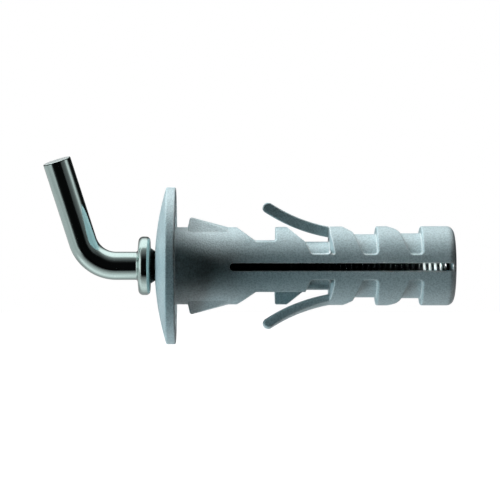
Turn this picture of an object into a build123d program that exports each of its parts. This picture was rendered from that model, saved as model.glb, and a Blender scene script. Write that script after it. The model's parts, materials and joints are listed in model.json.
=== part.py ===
from build123d import *
import os
from math import asin, cos, degrees, hypot, radians, sin, tan

# A wall plug with an angle hook screwed into it. Lengths are in mm and angles in degrees.
# X runs into the wall along the plug, with X = 0 on the wall's face, and the hook's arm points up +Z.

# Plug body
drill_diameter = 10.0
front_diameter = 9.75
taper_end = 26.0
plug_length = 35.0
tail_edge_radius = 0.9
plug_turn = 7.0

# Rim
rim_diameter = 19.8
rim_edge = 1.2
rim_rise = 1.48
rim_edge_radius = 0.2
rim_root_radius = 0.3
seat_width = 1.6
seat_relief = 0.25

# Bore and slit
bore_clearance = 0.05
bore_lead_in = 0.4
tail_wall = 0.45
tail_hole_diameter = 2.4
slit_width = 1.0
slit_start = 6.75

# Short ribs behind the rim
rib_start = 1.5
rib_end = 6.6
rib_height = 1.3
rib_crest_width = 0.8
rib_root_width = 3.4
rib_lean = 0.3
rib_peak_radius = 0.3
rib_edge_radius = 0.2
rib_root_depth = 0.8

# Neck with two flats, and the first tooth, which stands beside the folded wing
neck_start = 7.65
neck_ramp_angle = 36.0
neck_half_height = 3.15
neck_foot_radius = 0.3
tooth_start = 12.5
tooth_crest = 1.35
tooth_ramp_angle = 38.2
tooth_foot_radius = 0.3
side_gap = 0.2

# Pocket that the wing folds into
lip_height = 1.6
fold_floor_radius = 3.05
fold_drop_angle = 66.0
fold_wall = 19.3
fold_wall_slant = 0.6
corner_radius = 0.45

# Wings
wing_thickness = 1.38
wing_width = 2.4
wing_length = 7.9
wing_root_angle = 10.5
wing_bend_radius = 20.0
wing_root_depth = 0.8
wing_edge_radius = 0.2

# Pockets behind the second and third teeth
second_crest_end = 20.9
second_ramp_angle = 28.0
second_brow_depth = 0.68
second_brow_radius = 0.6
second_drop_angle = 65.0
second_floor_radius = 3.99
second_pocket_length = 4.3
third_crest_end = 26.6
third_ramp_angle = 18.0
third_brow_depth = 0.45
third_brow_radius = 1.5
third_drop_angle = 67.0
third_floor_radius = 4.1
third_pocket_length = 4.2

# Soft lips where the neck and the rear pockets meet the outside
lip_radius = 0.18

# Hook
rod_diameter = 3.55
thread_diameter = 4.0
thread_length = 20.0
screw_reach = 34.4
tip_length = 0.7
tip_diameter = 2.6
collar_gap = 0.65
collar_diameter = 7.4
collar_width = 1.45
collar_edge_radius = 0.4
collar_root_radius = 0.3
shoulder_diameter = 4.6
shoulder_length = 0.75
rod_reach = 6.0
arm_length = 14.0
arm_lean = 17.25
bend_radius = 4.4
arm_end_radius = 0.15

# Values that follow from the sizes above
drill_radius = drill_diameter / 2
front_radius = front_diameter / 2
rim_radius = rim_diameter / 2
rim_front = -(rim_edge + rim_rise)
taper = (drill_radius - front_radius) / (taper_end - rib_end)
fold_wall_radius = front_radius + taper * (fold_wall - rib_end)
second_wall = second_crest_end + second_pocket_length
third_wall = third_crest_end + third_pocket_length
rod_radius = rod_diameter / 2
thread_radius = thread_diameter / 2
bore_radius = thread_radius + bore_clearance
bore_end = plug_length - tail_wall
collar_back = rim_front - collar_gap
collar_front = collar_back - collar_width
rod_joint = collar_front - 2 * collar_root_radius
beyond = rim_diameter


def side_face(outline):
    return Plane.XZ * make_face(outline)


def turned(face):
    return revolve(face, Axis.X)


def through(face, start=-beyond, end=beyond):
    return Pos(0, end, 0) * extrude(face, end - start)


def half_turn(piece):
    return Rot(180, 0, 0) * piece


def cylinder_along(radius, start, end):
    return Pos(start, 0, 0) * Rot(0, 90, 0) * Cylinder(
        radius, end - start, align=(Align.CENTER, Align.CENTER, Align.MIN)
    )


def rounded_at(face, corner, radius):
    vertex = face.vertices().sort_by_distance(side_point(*corner))[0]
    return fillet(vertex, radius)


def side_point(x, z):
    return Vector(x, 0, z)


def down_slope(angle):
    return Vector(cos(radians(angle)), -sin(radians(angle)))


def turned_body():
    apex = Vector(rim_front, 0)
    dome_radius = (rim_radius**2 + rim_rise**2) / (2 * rim_rise)
    dome = JernArc(apex, (0, 1), dome_radius, -degrees(asin(rim_radius / dome_radius)))
    seat_inner = rim_radius - seat_width
    rest = Polyline(
        dome @ 1, (0, rim_radius), (0, seat_inner), (-seat_relief, seat_inner),
        (-seat_relief, front_radius), (rib_end, front_radius), (taper_end, drill_radius),
        (plug_length, drill_radius), (plug_length, 0), apex,
    )
    face = side_face([dome, rest])
    face = rounded_at(face, (-rim_edge, rim_radius), rim_edge_radius)
    face = rounded_at(face, (0, rim_radius), rim_edge_radius)
    face = rounded_at(face, (-seat_relief, front_radius), rim_root_radius)
    face = rounded_at(face, (plug_length, drill_radius), tail_edge_radius)
    return turned(face - bore_profile())


def bore_profile():
    tail_hole_radius = tail_hole_diameter / 2
    outside = plug_length + tail_wall
    return side_face(Polyline(
        (rim_front - bore_lead_in, 0), (rim_front - bore_lead_in, bore_radius + 2 * bore_lead_in),
        (rim_front + bore_lead_in, bore_radius), (bore_end, bore_radius),
        (bore_end, tail_hole_radius), (outside, tail_hole_radius), (outside, 0), close=True,
    ))


def short_rib():
    foot = Vector(rib_start, front_radius)
    peak = foot + Vector(rib_lean, rib_height)
    run_out = Vector(rib_end, front_radius)
    sunk_foot = foot - (peak - foot).normalized() * rib_root_depth
    sunk_end = run_out + (run_out - peak).normalized() * rib_root_depth
    face = side_face(Polyline(sunk_foot, peak, sunk_end, close=True))
    face = rounded_at(face, (peak.X, peak.Y), rib_peak_radius)
    rib = turned(face) & rib_section()
    free_edges = [edge for edge in rib.edges() if edge.bounding_box().max.Z > front_radius]
    return fillet(free_edges, rib_edge_radius)


def rib_section():
    flank_slope = (rib_root_width - rib_crest_width) / (2 * rib_height)
    low = front_radius - rib_root_depth
    crest = front_radius + rib_height
    top = crest + rib_root_depth
    half_crest = rib_crest_width / 2
    half_root = rib_root_width / 2 + flank_slope * rib_root_depth
    outline = Polyline(
        (-half_root, low), (-half_crest, crest), (-half_crest, top),
        (half_crest, top), (half_crest, crest), (half_root, low), close=True,
    )
    return extrude(Plane.YZ * make_face(outline), neck_start)


def ramp_lead(angle):
    return down_slope(angle) * drill_radius


def neck_gap():
    start = Vector(neck_start, front_radius)
    run = (front_radius - neck_half_height) / tan(radians(neck_ramp_angle))
    foot = (neck_start + run, neck_half_height)
    face = side_face(Polyline(
        start - ramp_lead(neck_ramp_angle), foot,
        (tooth_start, neck_half_height), (tooth_start, rim_radius), close=True,
    ))
    face = rounded_at(face, foot, neck_foot_radius)
    face = rounded_at(face, (tooth_start, neck_half_height), tooth_foot_radius)
    return through(face)


def tooth_end():
    run = (drill_radius - neck_half_height) / tan(radians(tooth_ramp_angle))
    return tooth_start + tooth_crest + run


def wing_channel():
    start = tooth_start - tooth_foot_radius
    face = side_face(Polyline(
        (start, neck_half_height), (tooth_end(), neck_half_height),
        (tooth_end(), rim_radius), (start, rim_radius), close=True,
    ))
    return through(face, -side_gap / 2, beyond)


def brow_point(crest_end, ramp_angle, brow_depth):
    return Vector(crest_end + brow_depth / tan(radians(ramp_angle)), drill_radius - brow_depth)


def pocket(crest_end, ramp_angle, brow_depth, drop_angle, wall):
    crest = Vector(crest_end, drill_radius)
    brow = brow_point(crest_end, ramp_angle, brow_depth)
    lip_start = brow.X + (brow.Y - lip_height) / tan(radians(drop_angle))
    face = side_face(Polyline(
        crest - ramp_lead(ramp_angle), brow, (lip_start, lip_height),
        (wall, lip_height), (wall, rim_radius), close=True,
    ))
    face = rounded_at(face, (lip_start, lip_height), corner_radius)
    return rounded_at(face, (wall, lip_height), corner_radius)


def fold_pocket():
    brow_depth = drill_radius - neck_half_height
    face = pocket(tooth_start + tooth_crest, tooth_ramp_angle, brow_depth, fold_drop_angle, fold_wall)
    core = cylinder_along(fold_floor_radius, tooth_start, fold_wall + fold_wall_slant)
    return through(face) + slanted_walls() - core


def slanted_walls():
    flat_reach = side_gap / 2 + wing_width + side_gap
    plan = Polyline(
        (fold_wall, flat_reach), (fold_wall + fold_wall_slant, drill_radius),
        (fold_wall + fold_wall_slant, rim_radius), (fold_wall, rim_radius), close=True,
    )
    far_side = Pos(0, 0, lip_height) * extrude(make_face(plan), rim_radius)
    return far_side + mirror(far_side, Plane.XZ)


def second_pocket():
    face = pocket(second_crest_end, second_ramp_angle, second_brow_depth, second_drop_angle, second_wall)
    brow = brow_point(second_crest_end, second_ramp_angle, second_brow_depth)
    face = rounded_at(face, (brow.X, brow.Y), second_brow_radius)
    return through(face) - cylinder_along(second_floor_radius, second_crest_end, second_wall)


def third_pocket():
    face = pocket(third_crest_end, third_ramp_angle, third_brow_depth, third_drop_angle, third_wall)
    brow = brow_point(third_crest_end, third_ramp_angle, third_brow_depth)
    face = rounded_at(face, (brow.X, brow.Y), third_brow_radius)
    return through(face) - cylinder_along(third_floor_radius, third_crest_end, third_wall)


def wing():
    root = Vector(fold_wall, fold_wall_radius)
    heading = down_slope(wing_root_angle) * -1
    inward = Vector(heading.Y, -heading.X) * -wing_thickness
    turn = -degrees(wing_length / wing_bend_radius)
    outer = JernArc(root, heading, wing_bend_radius, turn)
    inner = JernArc(root + inward, heading, wing_bend_radius + wing_thickness, turn)
    tip = (outer @ 1 + inner @ 1) * 0.5 + (outer % 1) * (wing_thickness / 2)
    round_end = ThreePointArc(outer @ 1, tip, inner @ 1)
    depth = heading * wing_root_depth
    base = Polyline(inner @ 0, inner @ 0 - depth, outer @ 0 - depth, outer @ 0)
    strip = through(
        side_face([outer, round_end, inner, base]), side_gap / 2, side_gap / 2 + wing_width
    )
    under = Polyline(
        inner @ 1, ((inner @ 1).X, 0), ((outer @ 0 - depth).X, 0), outer @ 0 - depth, outer @ 0,
    )
    blade = strip & turned(side_face([outer, round_end, under]))
    free_edges = [edge for edge in blade.edges() if edge.bounding_box().max.X < fold_wall]
    return fillet(free_edges, wing_edge_radius)


def slit():
    end_radius = slit_width / 2
    start = slit_start + end_radius
    opening = Polyline(
        (start, end_radius), (bore_end, end_radius), (bore_end, -end_radius), (start, -end_radius),
    )
    round_start = ThreePointArc((start, -end_radius), (slit_start, 0), (start, end_radius))
    return through(side_face([opening, round_start]))


def pocket_lips(body, start, end):
    lips = []
    for edge in body.edges():
        points = [edge @ share for share in (0, 0.25, 0.5, 0.75, 1)]
        outside = all(hypot(point.Y, point.Z) > front_radius - lip_radius for point in points)
        beside_slit = abs(points[2].Z) < slit_width
        if outside and not beside_slit and start < points[2].X < end:
            lips.append(edge)
    return lips


def with_soft_lips(body):
    neck_lips = pocket_lips(body, neck_start, tooth_start + tooth_crest)
    rear_lips = pocket_lips(body, fold_wall + fold_wall_slant, third_wall + lip_radius)
    return fillet(neck_lips + rear_lips, lip_radius)


def wall_plug():
    pockets = neck_gap() + wing_channel() + fold_pocket() + second_pocket() + third_pocket()
    body = with_soft_lips(turned_body() - slit() - pockets - half_turn(pockets))
    for piece in (wing(), short_rib()):
        body = body + piece + half_turn(piece)
    return Rot(-plug_turn, 0, 0) * body


def screw():
    neck = collar_back + shoulder_length
    thread_start = screw_reach - thread_length
    tip_start = screw_reach - tip_length
    relief = thread_radius - rod_radius
    face = side_face(Polyline(
        (rod_joint, 0), (rod_joint, rod_radius), (collar_front, rod_radius),
        (collar_front, collar_diameter / 2), (collar_back, collar_diameter / 2),
        (collar_back, shoulder_diameter / 2), (neck, rod_radius), (thread_start, rod_radius),
        (thread_start + relief, thread_radius), (tip_start, thread_radius),
        (screw_reach, tip_diameter / 2), (screw_reach, 0), close=True,
    ))
    face = rounded_at(face, (collar_front, collar_diameter / 2), collar_edge_radius)
    face = rounded_at(face, (collar_back, collar_diameter / 2), collar_edge_radius)
    face = rounded_at(face, (collar_front, rod_radius), collar_root_radius)
    return turned(face)


def bent_rod():
    corner = Vector(collar_front - rod_reach, 0)
    arm_end = corner + Vector(-sin(radians(arm_lean)), cos(radians(arm_lean))) * arm_length
    path = FilletPolyline((rod_joint, 0), corner, arm_end, radius=bend_radius)
    path = Plane.XZ * path
    start = Plane(origin=(rod_joint, 0, 0), z_dir=(-1, 0, 0))
    rod = sweep(start * Circle(rod_radius), path=path)
    end_edge = rod.edges().filter_by(GeomType.CIRCLE).sort_by(Axis.Z)[-1]
    return fillet(end_edge, arm_end_radius)


def screw_hook():
    return screw() + bent_rod()


os.makedirs("parts", exist_ok=True)
export_step(wall_plug(), "parts/wall_plug.step")
export_step(screw_hook(), "parts/screw_hook.step")
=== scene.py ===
import json
from math import cos, pi, radians, sin, tan

import bpy
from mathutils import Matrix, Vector

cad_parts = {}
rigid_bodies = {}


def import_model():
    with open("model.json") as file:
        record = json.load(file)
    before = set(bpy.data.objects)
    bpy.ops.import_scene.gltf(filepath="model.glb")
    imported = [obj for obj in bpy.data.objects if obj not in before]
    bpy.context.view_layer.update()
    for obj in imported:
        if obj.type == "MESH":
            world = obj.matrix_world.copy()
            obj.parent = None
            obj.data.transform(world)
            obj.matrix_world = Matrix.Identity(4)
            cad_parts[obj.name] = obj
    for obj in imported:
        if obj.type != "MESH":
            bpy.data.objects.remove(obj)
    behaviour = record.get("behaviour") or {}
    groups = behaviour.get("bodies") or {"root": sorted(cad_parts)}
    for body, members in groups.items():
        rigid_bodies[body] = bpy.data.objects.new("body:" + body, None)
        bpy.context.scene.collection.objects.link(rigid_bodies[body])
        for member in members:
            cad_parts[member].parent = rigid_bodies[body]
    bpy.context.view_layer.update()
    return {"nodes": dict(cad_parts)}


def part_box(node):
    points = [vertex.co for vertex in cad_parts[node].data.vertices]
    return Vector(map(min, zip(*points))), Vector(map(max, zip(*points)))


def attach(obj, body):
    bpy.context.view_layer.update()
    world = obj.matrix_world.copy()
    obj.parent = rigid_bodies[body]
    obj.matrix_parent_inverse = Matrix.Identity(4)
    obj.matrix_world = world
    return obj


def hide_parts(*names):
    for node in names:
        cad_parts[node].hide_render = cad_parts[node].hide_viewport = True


for start_object in list(bpy.data.objects):
    bpy.data.objects.remove(start_object)

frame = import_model()
mm = 0.001


# Camera
# A long lens, square to the plug and a little above it, so that the wall plug lies along the picture and
# the hook's arm stands up on the left.
view_elevation = radians(9)
view_distance = 290 * mm
view_width = 63.13 * mm
view_across = 5.05 * mm
view_shift = (0.068, 0.0316)

camera_data = bpy.data.cameras.new("camera")
camera_data.sensor_width = 36
camera_data.lens = camera_data.sensor_width * view_distance / view_width
camera_data.shift_x, camera_data.shift_y = view_shift
camera_data.clip_start = 10 * mm
camera_data.clip_end = 3
camera = bpy.data.objects.new("camera", camera_data)
camera.location = (view_across, -view_distance * cos(view_elevation), view_distance * sin(view_elevation))
camera.rotation_euler = (pi / 2 - view_elevation, 0, 0)
bpy.context.collection.objects.link(camera)
bpy.context.scene.camera = camera
bpy.context.scene.view_settings.view_transform = "Standard"


# Photo tent
# White cloth walls and roof round the held object, lit from outside, with black cloth on the side where
# the camera stands. The bright metal mirrors them; their own light on the object is very weak.
paper_white = (1, 1, 1, 1)
tent_fill = 0.004
# Walls: (turn from the camera's side in half turns, level), to the right positive.
tent_walls = [
    (-1, 0.12), (-0.9, 0.15), (-0.8, 0.5), (-0.69, 0.8), (-0.44, 1.1), (-0.33, 1.0), (-0.275, 1.0),
    (-0.25, 0.25), (-0.2, 0.01), (-0.1, 0.004), (0.155, 0.004), (0.19, 0.09), (0.276, 0.13),
    (0.327, 0.18), (0.374, 0.33), (0.43, 0.8), (0.49, 0.75), (0.55, 0.12), (0.6, 0.005), (0.75, 0.005),
    (1, 0.12),
]
# Wall heights: (sine of the height above the horizon, share of the walls' level).
wall_heights = [(-1, 0.6), (-0.35, 0.6), (-0.2, 1), (0.3, 1), (0.75, 0)]
# Roof: (pitch up from the camera's side in half turns, level).
tent_roof = [
    (-0.5, 0.004), (0.18, 0.004), (0.234, 0.02), (0.283, 0.055), (0.333, 0.12), (0.383, 0.18),
    (0.44, 0.33), (0.49, 0.95), (0.55, 1.08), (0.7, 1.08), (0.8, 0.85), (0.9, 0.35), (1, 0.12),
]
roof_begins = 0.3
roof_full = 0.75
roof_gain = 1.25


def add_node(tree, kind, **values):
    made = tree.nodes.new("ShaderNode" + kind)
    for name, value in values.items():
        if name in made.inputs:
            made.inputs[name].default_value = value
        else:
            setattr(made, name, value)
    return made


def maths(tree, operation, *values):
    made = add_node(tree, "Math", operation=operation)
    for socket, value in zip(made.inputs, values):
        if isinstance(value, (int, float)):
            socket.default_value = value
        else:
            tree.links.new(value, socket)
    return made.outputs["Value"]


def graded(tree, value, stops):
    """A smooth curve through (place, level) stops, for a value and places from -1 to 1."""
    made = add_node(tree, "ValToRGB")
    made.color_ramp.interpolation = "EASE"
    tree.links.new(maths(tree, "MULTIPLY_ADD", value, 0.5, 0.5), made.inputs["Fac"])
    elements = made.color_ramp.elements
    elements.remove(elements[1])
    first_place, first_level = stops[0]
    elements[0].position = first_place * 0.5 + 0.5
    elements[0].color = (first_level, first_level, first_level, 1)
    for place, level in stops[1:]:
        elements.new(place * 0.5 + 0.5).color = (level, level, level, 1)
    return made.outputs["Color"]


def ramp_between(tree, value, low, high):
    """0 at low and 1 at high, with smooth ends; it falls where low is the larger one."""
    made = add_node(tree, "MapRange", interpolation_type="SMOOTHSTEP")
    tree.links.new(value, made.inputs["Value"])
    made.inputs["From Min"].default_value = low
    made.inputs["From Max"].default_value = high
    return made.outputs["Result"]


def seen_or_mirrored(tree):
    rays = add_node(tree, "LightPath")
    seen = maths(tree, "MAXIMUM", rays.outputs["Is Camera Ray"], rays.outputs["Is Transmission Ray"])
    return seen, rays.outputs["Is Glossy Ray"]


def photo_tent():
    world = bpy.data.worlds.new("photo_tent")
    world.use_nodes = True
    world.cycles.sampling_method = "NONE"
    tree = world.node_tree
    tree.nodes.clear()
    direction = add_node(tree, "SeparateXYZ")
    tree.links.new(add_node(tree, "TexCoord").outputs["Generated"], direction.inputs[0])
    across, back, up = (direction.outputs[axis] for axis in "XYZ")
    to_camera = maths(tree, "MULTIPLY", back, -1.0)
    turn = maths(tree, "DIVIDE", maths(tree, "ARCTAN2", across, to_camera), pi)
    pitch = maths(tree, "DIVIDE", maths(tree, "ARCTAN2", up, to_camera), pi)
    walls = maths(tree, "MULTIPLY", graded(tree, turn, tent_walls), graded(tree, up, wall_heights))
    roof_level = maths(tree, "MULTIPLY", ramp_between(tree, up, roof_begins, roof_full), roof_gain)
    roof = maths(tree, "MULTIPLY", graded(tree, pitch, tent_roof), roof_level)
    over_fill = maths(tree, "SUBTRACT", maths(tree, "ADD", walls, roof), tent_fill)
    seen, glossy = seen_or_mirrored(tree)
    strength = maths(tree, "MULTIPLY_ADD", glossy, over_fill, tent_fill)
    backdrop = add_node(tree, "Background", Color=paper_white)
    tree.links.new(maths(tree, "MAXIMUM", strength, seen), backdrop.inputs["Strength"])
    tree.links.new(backdrop.outputs[0], add_node(tree, "OutputWorld").inputs["Surface"])
    return world


bpy.context.scene.world = photo_tent()


# Table top
# A pale matt board below the held object, which takes its shadow. To the eye it is as white as the tent.
# In the bright metal it shows a painted reflection, a glow only the metal sees: bright under the object,
# weaker behind it, dark on the camera's side.
table_height = -60 * mm
table_left = -500 * mm
table_right = 500 * mm
table_near = -110 * mm
table_far = 300 * mm
# Each list: (distance behind the object as a share of table_far, level).
table_shade = [(-0.25, 0.03), (-0.1, 0.05), (-0.03, 0.12), (0.03, 0.85), (0.3, 0.8), (1, 0.3)]
table_seen = [(-0.25, 0.45), (0.15, 0.45), (0.33, 0.98), (1, 1)]
# Levels of a glow that only the metal's reflections see: a painted reflection.
table_reflection_glow = [
    (-0.36, 0.01), (-0.3, 0.08), (-0.257, 0.24), (-0.223, 0.3), (-0.162, 0.46), (-0.112, 0.66),
    (-0.07, 0.9), (-0.03, 1.05), (0.01, 1), (0.06, 0.75), (0.1, 0.52), (0.15, 0.43), (0.36, 0.4), (1, 0.25),
]
# A painted reflection too: the glow that the metal sees at the board's far left.
left_end_reflection_glow = 0.6
left_end_inner = -70 * mm
left_end_outer = -110 * mm


def pale_table():
    material = bpy.data.materials.new("pale_table")
    material.use_nodes = True
    tree = material.node_tree
    tree.nodes.clear()
    place = add_node(tree, "SeparateXYZ")
    tree.links.new(add_node(tree, "TexCoord").outputs["Object"], place.inputs[0])
    across = place.outputs["X"]
    depth = maths(tree, "DIVIDE", place.outputs["Y"], table_far)
    seen, glossy = seen_or_mirrored(tree)
    board = add_node(tree, "BsdfDiffuse")
    # For the metal's reflections the board's own colour is dropped, and the painted reflection glows
    # instead.
    unmirrored = maths(tree, "SUBTRACT", 1.0, glossy)
    shade = maths(tree, "MULTIPLY", graded(tree, depth, table_shade), unmirrored)
    tree.links.new(shade, board.inputs["Color"])
    to_eye = maths(tree, "MULTIPLY", seen, graded(tree, depth, table_seen))
    inner_share = ramp_between(tree, across, left_end_outer, left_end_inner)
    below = maths(tree, "MULTIPLY", graded(tree, depth, table_reflection_glow), inner_share)
    outer_share = ramp_between(tree, across, left_end_inner, left_end_outer)
    beside = maths(tree, "MULTIPLY", left_end_reflection_glow, outer_share)
    reflection_glow = maths(tree, "MULTIPLY", glossy, maths(tree, "ADD", below, beside))
    glow = add_node(tree, "Emission", Color=paper_white)
    tree.links.new(maths(tree, "MAXIMUM", to_eye, reflection_glow), glow.inputs["Strength"])
    both = add_node(tree, "AddShader")
    tree.links.new(board.outputs[0], both.inputs[0])
    tree.links.new(glow.outputs[0], both.inputs[1])
    tree.links.new(both.outputs[0], add_node(tree, "OutputMaterial").inputs["Surface"])
    return material


table_mesh = bpy.data.meshes.new("table_top")
table_corners = [
    (table_left, table_near, table_height),
    (table_right, table_near, table_height),
    (table_right, table_far, table_height),
    (table_left, table_far, table_height),
]
table_mesh.from_pydata(table_corners, [], [(0, 1, 2, 3)])
table_mesh.materials.append(pale_table())
table = bpy.data.objects.new("table_top", table_mesh)
bpy.context.collection.objects.link(table)


# Lamps
# A long softbox above and behind, weaker ones at the left and low on the table, and two narrow spots from
# the front: one lifts the plug's tail, and the other shines into the slit and shows only as a gloss.
plain_white = (1, 1, 1)
cool_white = (0.78, 1, 1.07)
plug_start = Vector((0, 0, 0))
plug_tail = Vector((34 * mm, 0, 0))


def hang_lamp(lamp_data, place, target):
    lamp = bpy.data.objects.new(lamp_data.name, lamp_data)
    lamp.location = place
    lamp.rotation_euler = (target - lamp.location).to_track_quat("-Z", "Y").to_euler()
    lamp.visible_camera = False
    bpy.context.collection.objects.link(lamp)
    return lamp


def make_softbox(name, place, size, watts, tint):
    lamp_data = bpy.data.lights.new(name, "AREA")
    lamp_data.shape = "RECTANGLE"
    lamp_data.size, lamp_data.size_y = size
    lamp_data.energy = watts
    lamp_data.color = tint
    hang_lamp(lamp_data, place, plug_start).visible_glossy = False


def make_spot(name, place, watts, cone, radius):
    lamp_data = bpy.data.lights.new(name, "SPOT")
    lamp_data.energy = watts
    lamp_data.spot_size = cone
    lamp_data.spot_blend = 1
    lamp_data.shadow_soft_size = radius
    return hang_lamp(lamp_data, place, plug_tail)


make_softbox("overhead_softbox", (-45 * mm, 76 * mm, 206 * mm), (260 * mm, 56 * mm), 0.84, plain_white)
make_softbox("left_softbox", (-330 * mm, -180 * mm, -10 * mm), (120 * mm, 90 * mm), 0.42, cool_white)
make_softbox("upper_left_softbox", (-150 * mm, 60 * mm, 150 * mm), (80 * mm, 80 * mm), 0.17, cool_white)
make_softbox("table_glow", (-30 * mm, 10 * mm, -58 * mm), (130 * mm, 12 * mm), 0.036, cool_white)
tail_fill = make_spot("tail_fill", (-20 * mm, -200 * mm, -10 * mm), 0.18, radians(11), 8 * mm)
tail_fill.visible_glossy = False
snoot = make_spot("snoot", (-50 * mm, -71 * mm, 12 * mm), 1.7, radians(7), 4 * mm)
snoot.visible_diffuse = False


# Wall plug
# One injection-moulded nylon piece: domed rim, slit body with teeth and pockets, and two sprung wings. Its
# rim rests on the wall. It has a fine moulded texture, soft edges with a painted highlight, and passes a
# little light.
nylon_deep = (0.49, 0.605, 0.63, 1)
nylon_pale = (0.54, 0.655, 0.68, 1)
nylon_speck = (0.26, 0.35, 0.37, 1)
# Painted highlight: a near-white colour laid along the rounded edges.
nylon_edge_highlight = (0.93, 0.99, 0.99, 1)
speck_share = 0.62
edge_highlight_share = 0.9
nylon_roughness = 0.26
texture_roughness = 0.14
texture_size = 0.2 * mm
texture_depth = 0.08 * mm
moulded_edge = 0.26 * mm
light_depth = 0.4 * mm


def make_shader_group(name, inputs, outputs):
    group = bpy.data.node_groups.new(name, "ShaderNodeTree")
    for label, kind, value in inputs:
        socket = group.interface.new_socket(label, in_out="INPUT", socket_type="NodeSocket" + kind)
        if value is not None:
            socket.default_value = value
    for label, kind in outputs:
        group.interface.new_socket(label, in_out="OUTPUT", socket_type="NodeSocket" + kind)
    return group, group.nodes.new("NodeGroupInput"), group.nodes.new("NodeGroupOutput")


def make_soft_edge_group():
    group, given, result = make_shader_group(
        "soft_edge",
        [("Radius", "Float", 0.1 * mm)],
        [("Edge", "Float"), ("Normal", "Vector")],
    )
    rounded = add_node(group, "Bevel", samples=6)
    group.links.new(given.outputs["Radius"], rounded.inputs["Radius"])
    flat = add_node(group, "NewGeometry")
    facing = add_node(group, "VectorMath", operation="DOT_PRODUCT")
    group.links.new(rounded.outputs["Normal"], facing.inputs[0])
    group.links.new(flat.outputs["Normal"], facing.inputs[1])
    group.links.new(ramp_between(group, facing.outputs["Value"], 0.995, 0.9), result.inputs["Edge"])
    group.links.new(rounded.outputs["Normal"], result.inputs["Normal"])
    return group


def make_grain_group():
    group, given, result = make_shader_group(
        "fine_grain",
        [("Vector", "Vector", None), ("Size", "Float", 0.1 * mm), ("Detail", "Float", 4.0)],
        [("Height", "Float"), ("Cloud", "Float")],
    )
    grain = add_node(group, "TexNoise", Roughness=0.6)
    group.links.new(given.outputs["Vector"], grain.inputs["Vector"])
    group.links.new(maths(group, "DIVIDE", 1.0, given.outputs["Size"]), grain.inputs["Scale"])
    group.links.new(given.outputs["Detail"], grain.inputs["Detail"])
    cloud = add_node(group, "TexNoise", Detail=2.0)
    group.links.new(given.outputs["Vector"], cloud.inputs["Vector"])
    group.links.new(maths(group, "DIVIDE", 0.04, given.outputs["Size"]), cloud.inputs["Scale"])
    group.links.new(grain.outputs["Fac"], result.inputs["Height"])
    group.links.new(cloud.outputs["Fac"], result.inputs["Cloud"])
    return group


soft_edge = make_soft_edge_group()
fine_grain = make_grain_group()


def add_group(tree, group, **values):
    made = tree.nodes.new("ShaderNodeGroup")
    made.node_tree = group
    for name, value in values.items():
        made.inputs[name].default_value = value
    return made


def mix_colours(tree, share, first, second):
    made = add_node(tree, "Mix", data_type="RGBA")
    tree.links.new(share, made.inputs["Factor"])
    for socket, value in ((made.inputs["A"], first), (made.inputs["B"], second)):
        if isinstance(value, tuple):
            socket.default_value = value
        else:
            tree.links.new(value, socket)
    return made.outputs["Result"]


def new_material(name):
    material = bpy.data.materials.new(name)
    material.use_nodes = True
    tree = material.node_tree
    return material, tree, tree.nodes["Principled BSDF"]


def relief(tree, skin, height, under, strength, depth):
    """Bumps of the given height over the normal that comes from under them."""
    bump = add_node(tree, "Bump", Strength=strength, Distance=depth)
    tree.links.new(height, bump.inputs["Height"])
    tree.links.new(under, bump.inputs["Normal"])
    tree.links.new(bump.outputs["Normal"], skin.inputs["Normal"])


def moulded_nylon():
    material, tree, skin = new_material("moulded_nylon")
    grain = add_group(tree, fine_grain, Size=texture_size, Detail=3.0)
    tree.links.new(add_node(tree, "TexCoord").outputs["Object"], grain.inputs["Vector"])
    height = grain.outputs["Height"]
    edge = add_group(tree, soft_edge, Radius=moulded_edge)
    body = mix_colours(tree, grain.outputs["Cloud"], nylon_deep, nylon_pale)
    speck = maths(tree, "MULTIPLY", ramp_between(tree, height, 0.62, 0.34), speck_share)
    body = mix_colours(tree, speck, body, nylon_speck)
    # Painted highlight along the rounded edges.
    edge_highlight = maths(tree, "MULTIPLY", edge.outputs["Edge"], edge_highlight_share)
    tree.links.new(mix_colours(tree, edge_highlight, body, nylon_edge_highlight), skin.inputs["Base Color"])
    rough = maths(tree, "MULTIPLY_ADD", height, texture_roughness, nylon_roughness)
    tree.links.new(rough, skin.inputs["Roughness"])
    relief(tree, skin, height, edge.outputs["Normal"], 0.5, texture_depth)
    skin.inputs["IOR"].default_value = 1.53
    skin.inputs["Subsurface Weight"].default_value = 0.15
    skin.inputs["Subsurface Radius"].default_value = (0.8, 1.0, 1.0)
    skin.inputs["Subsurface Scale"].default_value = light_depth
    return material


wall_plug = frame["nodes"]["wall_plug"]
wall_plug.material_slots[0].material = moulded_nylon()


# Screw hook
# One length of steel wire, cut square, bent at the arm, upset to a collar and thread-rolled, then bright
# plated. It is screwed into the plug, and turns with the hook body.
screw_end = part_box("screw_hook")[1].x
rod_radius = 1.775 * mm
arm_lean = radians(17.25)
arm_length = 14.0 * mm
bend_corner = -10.78 * mm
bend_radius = 4.4 * mm
bend_turn = pi / 2 - arm_lean
bend_reach = bend_radius * tan(bend_turn / 2)
cut_edge = 0.15 * mm
collar_front = -4.73 * mm
collar_back = -3.24 * mm
collar_radius = 3.7 * mm
collar_edge = 0.5 * mm
front_edge = 0.6 * mm
collar_swell = 0.1 * mm
root_fillet = 0.25 * mm
shoulder_radius = 2.3 * mm
shoulder_length = 0.75 * mm
thread_radius = 2.0 * mm
thread_pitch = 0.7 * mm
thread_depth = 0.40 * mm
thread_length = 20.0 * mm
thread_start = screw_end - thread_length
crest_flat = 0.18
flank_share = 0.62
tip_length = 0.7 * mm
tip_radius = 1.3 * mm
wire_sides = 64


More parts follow.
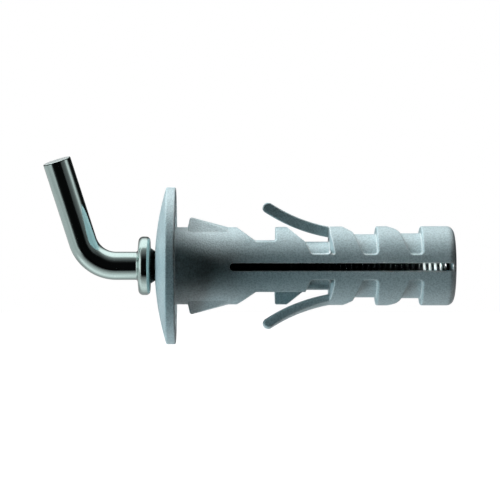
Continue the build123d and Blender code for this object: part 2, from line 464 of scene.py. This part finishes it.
def arm_stations():
    """(centre, direction, radius) along the wire, from the cut end of the arm round the bend."""
    down = Vector((sin(arm_lean), 0, -cos(arm_lean)))
    corner = Vector((bend_corner, 0, 0))
    top = corner - down * arm_length
    face_rings = (0.02, 0.4, 0.75)
    stations = [(top, down, share * rod_radius) for share in face_rings]
    edge_steps = 6
    for i in range(edge_steps + 1):
        angle = pi / 2 * i / edge_steps
        depth = cut_edge * (1 - cos(angle))
        radius = rod_radius - cut_edge * (1 - sin(angle))
        stations.append((top + down * depth, down, radius))
    arm_start = top + down * 2 * cut_edge
    arm_end = corner - down * bend_reach
    arm_steps = 24
    for i in range(arm_steps + 1):
        stations.append((arm_start.lerp(arm_end, i / arm_steps), down, rod_radius))
    centre = Vector((bend_corner + bend_reach, 0, bend_radius))
    bend_steps = 40
    for i in range(1, bend_steps):
        angle = bend_turn * (1 - i / bend_steps)
        spot = centre - Vector((sin(angle), 0, cos(angle))) * bend_radius
        stations.append((spot, Vector((cos(angle), 0, -sin(angle))), rod_radius))
    return stations


def quarter_round(x, radius, size, first, steps=6):
    """(x, radius) points of a rounded outer edge; first is the angle from +X at which it starts."""
    points = []
    for i in range(steps + 1):
        angle = first - pi / 2 * i / steps
        points.append((x + size * cos(angle), radius + size * sin(angle)))
    return points


def collar_outline():
    """(x, radius) points from the end of the bend, over the collar and shoulder, to the thread."""
    neck_start = bend_corner + bend_reach
    swell_start = collar_front - collar_swell
    neck_length = swell_start - root_fillet - neck_start
    neck = [(neck_start + neck_length * i / 8, rod_radius) for i in range(8)]
    root = [
        (swell_start - root_fillet * (1 - sin(angle)), rod_radius + root_fillet * (1 - cos(angle)))
        for angle in [pi / 2 * i / 5 for i in range(6)]
    ]
    front = quarter_round(collar_front + front_edge, collar_radius - front_edge, front_edge, pi)
    back = quarter_round(collar_back - collar_edge, collar_radius - collar_edge, collar_edge, pi / 2)
    shoulder_end = collar_back + shoulder_length
    shoulder = [(collar_back, shoulder_radius), (shoulder_end, rod_radius)]
    shank_length = thread_start - shoulder_end
    shank = [(shoulder_end + shank_length * i / 10, rod_radius) for i in range(1, 10)]
    return neck + root + front + back + shoulder + shank


def thread_outline():
    """(x, radius) points of the crests, from the run-out of the thread to the end of the tip."""
    rings_per_turn = 12
    count = round(thread_length / thread_pitch * rings_per_turn)
    tip_start = screw_end - tip_length
    outline = []
    for i in range(count + 1):
        x = thread_start + thread_length * i / count
        crest = min(thread_radius, rod_radius + (x - thread_start))
        if x > tip_start:
            crest = thread_radius + (tip_radius - thread_radius) * (x - tip_start) / tip_length
        outline.append((x, crest))
    return outline + [(screw_end, tip_radius * share) for share in (0.6, 0.02)]


def groove(x, angle):
    """Depth of the rolled groove below the crest, from 0 to 1, on a right-hand helix."""
    if x < thread_start or x > screw_end - 0.01 * mm:
        return 0.0
    turns = (x - thread_start) / thread_pitch
    flank = abs(2 * ((turns - angle / (2 * pi)) % 1.0) - 1)
    return min(1.0, turns) * min(1.0, max(0.0, (flank - crest_flat) / flank_share))


def wire_ring(centre, along, radius):
    """Points round the wire at one station."""
    along = along.normalized()
    side = Vector((0, 1, 0))
    up = Vector((-along.z, 0, along.x))
    points = []
    for j in range(wire_sides):
        angle = 2 * pi * j / wire_sides
        reach = max(radius - thread_depth * groove(centre.x, angle), 0.01 * mm)
        points.append(centre + (side * cos(angle) + up * sin(angle)) * reach)
    return points


def unroll_wire(mesh, lengths):
    """A flat map of the wire: one turn round it is 1 across, and its length has the same scale."""
    layout = mesh.uv_layers.new(name="wire")
    for face in mesh.polygons:
        indices = [mesh.loops[corner].vertex_index for corner in face.loop_indices]
        closes_turn = any(index % wire_sides == wire_sides - 1 for index in indices)
        for corner, index in zip(face.loop_indices, indices):
            share = (index % wire_sides) / wire_sides
            if share == 0 and closes_turn:
                share = 1.0
            layout.data[corner].uv = (share, lengths[index // wire_sides] / (2 * pi * rod_radius))


def hook_mesh():
    stations = arm_stations()
    for x, radius in collar_outline() + thread_outline():
        stations.append((Vector((x, 0, 0)), Vector((1, 0, 0)), radius))
    vertices, faces, lengths = [], [], []
    travelled = 0.0
    last = stations[0][0]
    for centre, along, radius in stations:
        travelled += (centre - last).length
        last = centre
        lengths.append(travelled)
        vertices += wire_ring(centre, along, radius)
    last_ring = (len(stations) - 1) * wire_sides
    for near in range(0, last_ring, wire_sides):
        far = near + wire_sides
        for j in range(wire_sides):
            k = (j + 1) % wire_sides
            faces.append((near + j, near + k, far + k, far + j))
    faces.append(tuple(range(wire_sides - 1, -1, -1)))
    faces.append(tuple(range(last_ring, last_ring + wire_sides)))
    mesh = bpy.data.meshes.new("screw_hook_wire")
    mesh.from_pydata(vertices, [], faces)
    unroll_wire(mesh, lengths)
    mesh.shade_smooth()
    mesh.set_sharp_from_angle(angle=radians(35))
    return mesh


plate_deep = (0.51, 0.66, 0.63, 1)
plate_pale = (0.59, 0.73, 0.71, 1)
plate_shade = (0.34, 0.44, 0.42, 1)
# Painted highlight: the screw's last turns and tip get a paler plate, so that they shine brighter.
painted_highlight_plate = (0.88, 0.95, 0.94, 1)
sawn_steel = (0.62, 0.65, 0.64, 1)
# Painted shade: the shoulder, the shank and thread inside the plug, the tip and the roots of the last turns
# are painted near black. The dark line below the arm's cut end uses it too.
painted_near_black = (0.006, 0.007, 0.007, 1)
bright_turns_start = 30.75 * mm
bright_turns_end = 33.7 * mm
crest_low = 1.66 * mm
crest_high = 1.84 * mm
streak_share = 0.45
plate_speck_share = 0.3
painted_shade_share = 0.99
tip_painted_shade = 0.95
root_painted_shade = 0.7
# A dark line painted round the wire just below the arm's cut end.
end_dark_line_share = 0.9
plate_roughness = 0.035
line_roughness = 0.09
rubbed_roughness = 0.24
black_roughness = 0.2
plate_grain = 0.12 * mm
drawn_depth = 0.015 * mm
broken_edge = 0.08 * mm


def wire_noise(tree, wire, scale, detail, roughness):
    """Noise drawn out along the wire, as a drawing die leaves it."""
    drawn = add_node(tree, "Mapping", Scale=scale)
    tree.links.new(wire, drawn.inputs["Vector"])
    noise = add_node(tree, "TexNoise", Scale=1.0, Detail=detail, Roughness=roughness)
    tree.links.new(drawn.outputs["Vector"], noise.inputs["Vector"])
    return noise.outputs["Fac"]


def within(tree, value, low, high, softness):
    rise = ramp_between(tree, value, low - softness, low + softness)
    fall = ramp_between(tree, value, high + softness, high - softness)
    return maths(tree, "MULTIPLY", rise, fall)


def thread_crests(tree, place):
    """1 on the crests of the thread and 0 in its roots, from the distance to the axis."""
    across = add_node(tree, "VectorMath", operation="MULTIPLY")
    tree.links.new(place, across.inputs[0])
    across.inputs[1].default_value = (0, 1, 1)
    from_axis = add_node(tree, "VectorMath", operation="LENGTH")
    tree.links.new(across.outputs["Vector"], from_axis.inputs[0])
    return ramp_between(tree, from_axis.outputs["Value"], crest_low, crest_high)


def screw_plating(tree, place):
    """Masks for the screw: where shade is painted near black, where its last turns are rubbed, and where a
    paler highlight is painted.
    """
    parts = add_node(tree, "SeparateXYZ")
    tree.links.new(place, parts.inputs[0])
    along = parts.outputs["X"]
    crest = thread_crests(tree, place)
    last_turns = within(tree, along, bright_turns_start, bright_turns_end, 0.05 * mm)
    shank = within(tree, along, collar_back + 0.02 * mm, bright_turns_start, 0.05 * mm)
    tip = ramp_between(tree, along, bright_turns_end, bright_turns_end + 0.1 * mm)
    # Painted shade: near black from the shoulder to the last turns, on the tip, and in the roots of the
    # last turns.
    painted_shade = maths(tree, "MAXIMUM", shank, maths(tree, "MULTIPLY", tip, tip_painted_shade))
    root = maths(tree, "MULTIPLY_ADD", crest, -root_painted_shade, root_painted_shade)
    painted_shade = maths(tree, "MAXIMUM", painted_shade, maths(tree, "MULTIPLY", last_turns, root))
    rubbed = maths(tree, "MULTIPLY", last_turns, crest)
    painted_highlight = ramp_between(tree, along, bright_turns_start, bright_turns_start + 0.1 * mm)
    return painted_shade, rubbed, painted_highlight


def cut_end(tree, wire):
    """Masks for the arm's end: the sawn face, and a dark line round the wire just below it."""
    parts = add_node(tree, "SeparateXYZ")
    tree.links.new(wire, parts.inputs[0])
    from_end = maths(tree, "MULTIPLY", parts.outputs["Y"], 2 * pi * rod_radius)
    sawn = ramp_between(tree, from_end, 0.03 * mm, 0.01 * mm)
    return sawn, within(tree, from_end, 0.05 * mm, 0.17 * mm, 0.03 * mm)


def plated_steel():
    material, tree, skin = new_material("plated_steel")
    wire = add_node(tree, "UVMap", uv_map="wire").outputs["UV"]
    place = add_node(tree, "TexCoord").outputs["Object"]
    lines = wire_noise(tree, wire, (60, 4, 1), 4.0, 0.7)
    waves = wire_noise(tree, wire, (14, 0.8, 1), 2.0, 0.5)
    grain = add_group(tree, fine_grain, Size=plate_grain, Detail=3.0)
    tree.links.new(place, grain.inputs["Vector"])
    edge = add_group(tree, soft_edge, Radius=broken_edge)
    painted_shade, rubbed, painted_highlight = screw_plating(tree, place)
    sawn, end_dark_line = cut_end(tree, wire)

    tone = mix_colours(tree, grain.outputs["Cloud"], plate_deep, plate_pale)
    streaks = maths(tree, "MULTIPLY", ramp_between(tree, waves, 0.48, 0.68), streak_share)
    tone = mix_colours(tree, streaks, tone, plate_shade)
    speck = ramp_between(tree, grain.outputs["Height"], 0.6, 0.4)
    tone = mix_colours(tree, maths(tree, "MULTIPLY", speck, plate_speck_share), tone, plate_shade)
    # Painted highlight: a paler plate on the last turns.
    tone = mix_colours(tree, painted_highlight, tone, painted_highlight_plate)
    tone = mix_colours(tree, sawn, tone, sawn_steel)
    # Painted shade, laid on as near black together with the dark line below the cut end.
    painted_shade = maths(tree, "MULTIPLY", painted_shade, painted_shade_share)
    dark = maths(tree, "MAXIMUM", painted_shade, maths(tree, "MULTIPLY", end_dark_line, end_dark_line_share))
    tree.links.new(mix_colours(tree, dark, tone, painted_near_black), skin.inputs["Base Color"])
    tree.links.new(maths(tree, "SUBTRACT", 1.0, sawn), skin.inputs["Metallic"])

    rough = maths(tree, "MULTIPLY_ADD", lines, line_roughness, plate_roughness)
    rough = maths(tree, "MULTIPLY_ADD", rubbed, rubbed_roughness, rough)
    rough = maths(tree, "MULTIPLY_ADD", dark, black_roughness, rough)
    tree.links.new(rough, skin.inputs["Roughness"])
    height = maths(tree, "MULTIPLY_ADD", waves, 0.6, lines)
    relief(tree, skin, height, edge.outputs["Normal"], 0.4, drawn_depth)
    return material


hook = bpy.data.objects.new("screw_hook_wire", hook_mesh())
bpy.context.collection.objects.link(hook)
hook.data.materials.append(plated_steel())
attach(hook, "hook")
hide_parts("screw_hook")


bpy.context.view_layer.update()
